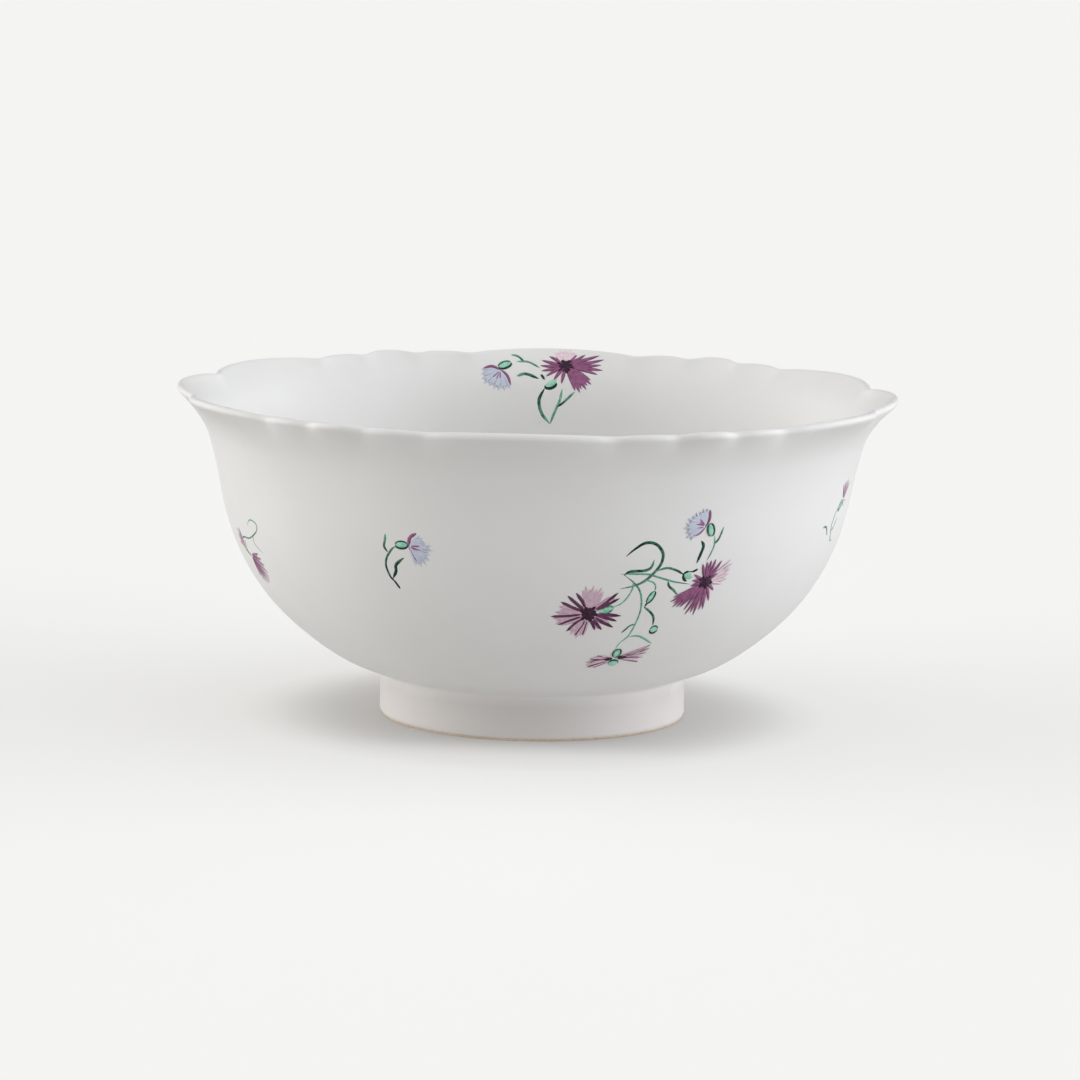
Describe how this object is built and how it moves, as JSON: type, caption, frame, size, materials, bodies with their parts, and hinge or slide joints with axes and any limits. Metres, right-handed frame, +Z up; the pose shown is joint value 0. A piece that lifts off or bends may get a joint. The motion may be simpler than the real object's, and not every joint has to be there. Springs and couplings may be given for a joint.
{
  "type": "serving bowl",
  "caption": "Footed round serving bowl in white glazed porcelain, with a flared, lobed rim and painted flower sprays inside and out.",
  "frame": {"origin": "centre of the foot ring's resting edge, on the surface that the bowl stands on", "axes": "+Z up out of the bowl's mouth; +Y and -Y each point through the crest of a wide lobe of the rim, so the bowl is symmetrical about the XZ and YZ planes"},
  "size_m": [0.2346, 0.235, 0.1073],
  "materials": {
    "biscuit": "unglazed fired porcelain, warm tan where it is bare, dry and fine-grained",
    "slip": "fired slip, matt",
    "glaze": "satin white porcelain glaze with a few fine dark specks",
    "enamel_green": "thin fired enamel, mint to dark green brush strokes",
    "enamel_purple": "thin fired enamel, dark aubergine brush strokes",
    "enamel_pink": "thin fired enamel, mauve to pale pink brush strokes",
    "enamel_blue": "thin fired enamel, lilac-blue brush strokes"
  },
  "bodies": {
    "root": {"bowl_body": "biscuit", "foot_ring": "biscuit", "luting_slip": "slip", "glaze_coat": "glaze", "base_glaze": "glaze"}
  },
  "joints": []
}
